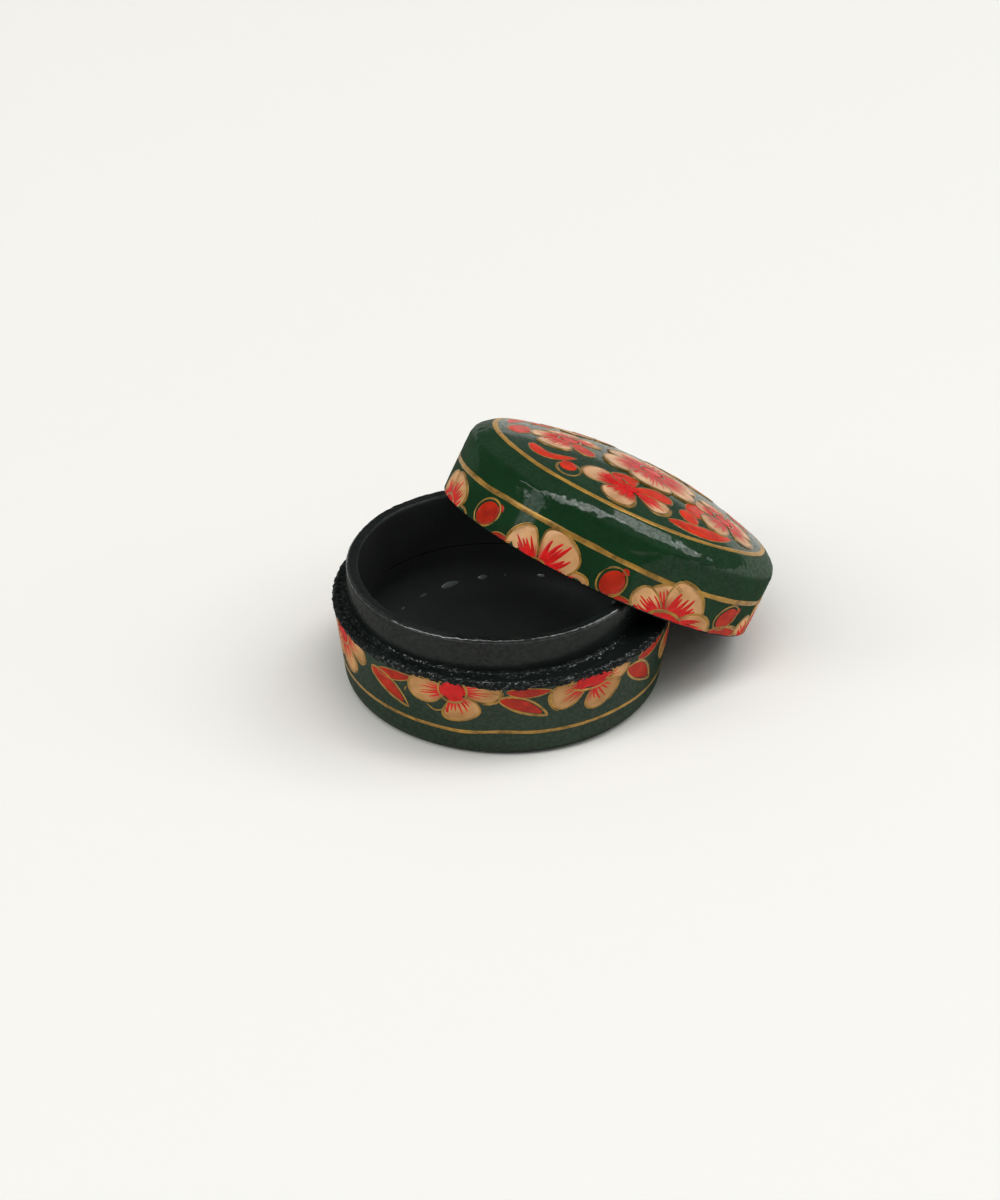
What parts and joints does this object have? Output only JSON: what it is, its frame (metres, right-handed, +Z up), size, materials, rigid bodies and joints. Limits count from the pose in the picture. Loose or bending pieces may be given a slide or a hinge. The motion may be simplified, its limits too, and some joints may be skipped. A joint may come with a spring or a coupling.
{
  "type": "box",
  "caption": "Round papier-mache box with a raised neck inside its shoulder, and a loose domed lid leaning on it.",
  "frame": {"origin": "centre of the base's flat foot, on the surface it stands on", "axes": "+Z up along the base's axis, +X to the right and +Y away from the viewer as pictured; the lid leans towards +X and +Y"},
  "size_m": [0.0835, 0.0794, 0.0451],
  "materials": {
    "base_lacquer": "painted and lacquered",
    "neck_lacquer": "black lacquer",
    "lid_lacquer": "painted and lacquered"
  },
  "bodies": {
    "base": {"base_shell": "base_lacquer", "neck_ring": "neck_lacquer"},
    "lid": {"lid_shell": "lid_lacquer"}
  },
  "joints": [
    {"name": "lid_lift", "type": "slide", "parent": "base", "child": "lid", "axis": [0, 0, 1], "range_m": [0, 0.04]}
  ]
}
